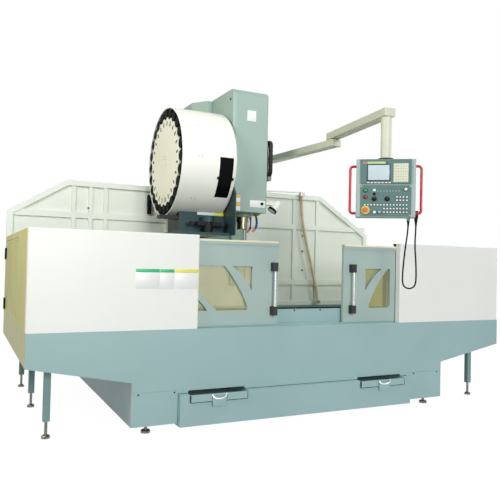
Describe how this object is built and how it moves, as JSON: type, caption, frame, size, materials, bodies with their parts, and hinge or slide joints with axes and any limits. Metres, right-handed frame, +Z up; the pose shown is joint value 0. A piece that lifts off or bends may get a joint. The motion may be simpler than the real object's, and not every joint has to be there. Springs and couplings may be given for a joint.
{
  "type": "vertical machining center",
  "caption": "Large vertical machining center: open-topped splash enclosure on a tray, column with sliding head, side tool drum, sliding doors and a swinging pendant.",
  "frame": {"origin": "floor level, under the middle of the machine's overall box", "axes": "+X to the operator's right, +Y to the back, +Z up"},
  "size_m": [4.436, 3.6484, 3],
  "materials": {
    "white_paint": "satin",
    "blue_grey_paint": "satin",
    "green_grey_paint": "satin",
    "pale_grey_paint": "satin",
    "dark_paint": "satin",
    "casting": "satin",
    "ground_steel": "satin",
    "nickel": "polished",
    "black_steel": "satin",
    "black_plastic": "matte",
    "cream_plastic": "satin",
    "dark_pane": "gloss",
    "clear_pane": "gloss",
    "hose_plastic": "satin",
    "conduit": "matte",
    "keypad": "satin",
    "red_paint": "gloss",
    "stop_plastic": "gloss",
    "cord_rubber": "matte"
  },
  "bodies": {
    "machine_frame": {"splash_tray": "blue_grey_paint", "base": "blue_grey_paint", "levelling_feet": "nickel", "chip_box": "blue_grey_paint", "support_legs": "blue_grey_paint", "front_panels": "white_paint", "side_panels": "white_paint", "side_hatches": "white_paint", "rear_guards": "pale_grey_paint", "column": "green_grey_paint", "column_cap": "green_grey_paint", "electrical_cabinet": "pale_grey_paint", "drum_cover": "white_paint", "drum_window": "dark_pane", "changer_bracket": "dark_paint", "changer_gearbox": "dark_paint", "changer_guard": "dark_paint", "change_arm": "black_steel", "bed": "casting", "chip_slides": "ground_steel", "door_track": "blue_grey_paint", "door_rollers": "black_plastic", "arm_bracket": "pale_grey_paint", "cable_chain": "black_plastic", "hose_clamps": "nickel", "conduit_hose": "conduit"},
    "left_drawer": {"left_chip_drawer": "blue_grey_paint"},
    "right_drawer": {"right_chip_drawer": "blue_grey_paint"},
    "saddle_slide": {"saddle": "casting"},
    "table_slide": {"table": "ground_steel"},
    "head_slide": {"head": "green_grey_paint", "work_lamp": "white_paint", "coolant_pipes": "hose_plastic"},
    "spindle": {"spindle_nose": "ground_steel"},
    "tool_magazine": {"tool_disc": "cream_plastic", "tool_pots": "black_plastic"},
    "left_door_slide": {"left_door": "blue_grey_paint", "left_door_pane": "clear_pane", "left_door_handle": "ground_steel"},
    "right_door_slide": {"right_door": "blue_grey_paint", "right_door_pane": "clear_pane", "right_door_handle": "ground_steel"},
    "rear_arm_swing": {"rear_arm": "pale_grey_paint"},
    "front_arm_swing": {"front_arm": "pale_grey_paint"},
    "pendant": {"pendant_housing": "pale_grey_paint", "display_unit": "pale_grey_paint", "operator_panel": "keypad", "emergency_stop": "stop_plastic", "pendant_handles": "red_paint", "handwheel_unit": "black_plastic", "pendant_cord": "cord_rubber"}
  },
  "joints": [
    {"name": "left_drawer_pull", "type": "slide", "parent": "machine_frame", "child": "left_drawer", "axis": [0, -1, 0], "range_m": [0, 0.34]},
    {"name": "right_drawer_pull", "type": "slide", "parent": "machine_frame", "child": "right_drawer", "axis": [0, -1, 0], "range_m": [0, 0.34]},
    {"name": "saddle_travel", "type": "slide", "parent": "machine_frame", "child": "saddle_slide", "axis": [0, 1, 0], "range_m": [-0.4, 0.4]},
    {"name": "table_travel", "type": "slide", "parent": "saddle_slide", "child": "table_slide", "axis": [1, 0, 0], "range_m": [-0.75, 0.75]},
    {"name": "head_travel", "type": "slide", "parent": "machine_frame", "child": "head_slide", "axis": [0, 0, 1], "range_m": [-0.58, 0.1]},
    {"name": "spindle_turn", "type": "hinge", "parent": "head_slide", "child": "spindle", "pos_m": [0, -0.06682, 1.65], "axis": [0, 0, 1], "continuous": true},
    {"name": "magazine_turn", "type": "hinge", "parent": "machine_frame", "child": "tool_magazine", "pos_m": [-0.52, 0.06318, 2.254], "axis": [-1, 0, 0], "continuous": true},
    {"name": "left_door_travel", "type": "slide", "parent": "machine_frame", "child": "left_door_slide", "axis": [-1, 0, 0], "range_m": [-0.245, 0.635]},
    {"name": "right_door_travel", "type": "slide", "parent": "machine_frame", "child": "right_door_slide", "axis": [1, 0, 0], "range_m": [-0.398, 0.455]},
    {"name": "rear_arm_turn", "type": "hinge", "parent": "machine_frame", "child": "rear_arm_swing", "pos_m": [0.6, 0.90318, 2.482], "axis": [0, 0, 1], "range_deg": [-8, 8]},
    {"name": "front_arm_turn", "type": "hinge", "parent": "rear_arm_swing", "child": "front_arm_swing", "pos_m": [0.708, -0.65182, 2.552], "axis": [0, 0, 1], "range_deg": [-12, 12]},
    {"name": "pendant_turn", "type": "hinge", "parent": "front_arm_swing", "child": "pendant", "pos_m": [0.583, -1.62682, 2.172], "axis": [0, 0, 1], "range_deg": [-35, 35]}
  ]
}
